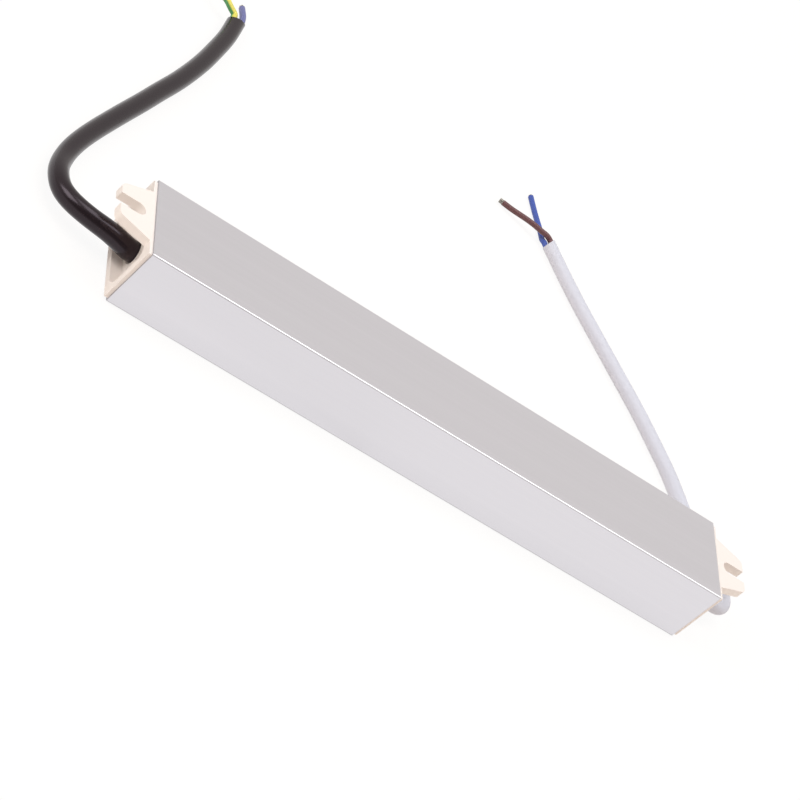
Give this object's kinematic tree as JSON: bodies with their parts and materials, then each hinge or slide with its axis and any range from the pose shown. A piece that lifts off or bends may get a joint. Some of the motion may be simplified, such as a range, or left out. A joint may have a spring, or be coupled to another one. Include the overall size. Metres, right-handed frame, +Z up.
{
  "type": "led driver",
  "caption": "Slim sealed LED driver: satin aluminium tube with moulded end caps, forked fixing tabs, a black mains lead and a white output lead.",
  "frame": {"origin": "middle of the tube's underside, at the bottom centre of the driver without its leads", "axes": "+X along the tube from the mains end to the output end, +Z up through the wide face that the fixing tabs are next to, +Y across the tube, to the side the leads turn to"},
  "size_m": [0.2427, 0.1604, 0.0205],
  "materials": {
    "tube_aluminium": "satin, with fine lines along the tube",
    "cap_plastic": "ivory, lightly satin moulding",
    "mains_jacket": "satin black flexible jacket",
    "output_jacket": "satin white flexible jacket",
    "core_brown": "satin brown insulation",
    "core_blue": "satin blue insulation",
    "core_green_yellow": "satin insulation with a green and a yellow stripe",
    "film": "thin white insulating film",
    "board_laminate": "green solder mask",
    "fuse_glass": "clear body with metal ends",
    "blue_coating": "dipped blue coating",
    "yellow_case": "yellow moulded case",
    "dark_moulding": "matt black moulding compound",
    "can_sleeve": "shrunk dark blue sleeve",
    "resistor_coat": "tan coating",
    "ferrite": "dark grey sintered ferrite",
    "winding": "yellow winding tape over copper wire",
    "copper_winding": "lacquered copper wire"
  },
  "bodies": {
    "root": {"housing": "tube_aluminium", "input_end_cap": "cap_plastic", "output_end_cap": "cap_plastic", "insulation_liner": "film", "circuit_board": "board_laminate", "fuse": "fuse_glass", "varistor": "blue_coating", "x_capacitor": "yellow_case", "line_choke": "copper_winding", "bridge_rectifier": "dark_moulding", "bulk_capacitor": "can_sleeve", "power_resistor": "resistor_coat", "controller_chip": "dark_moulding", "switching_transistor": "dark_moulding", "transformer_core": "ferrite", "transformer_bobbin": "winding", "optocoupler": "dark_moulding", "y_capacitor": "blue_coating", "output_rectifier": "dark_moulding", "output_capacitor_1": "can_sleeve", "output_capacitor_2": "can_sleeve", "output_choke": "copper_winding", "mains_lead": "mains_jacket", "mains_live_core": "core_brown", "mains_neutral_core": "core_blue", "mains_earth_core": "core_green_yellow", "output_lead": "output_jacket", "output_plus_core": "core_brown", "output_minus_core": "core_blue"}
  },
  "joints": []
}
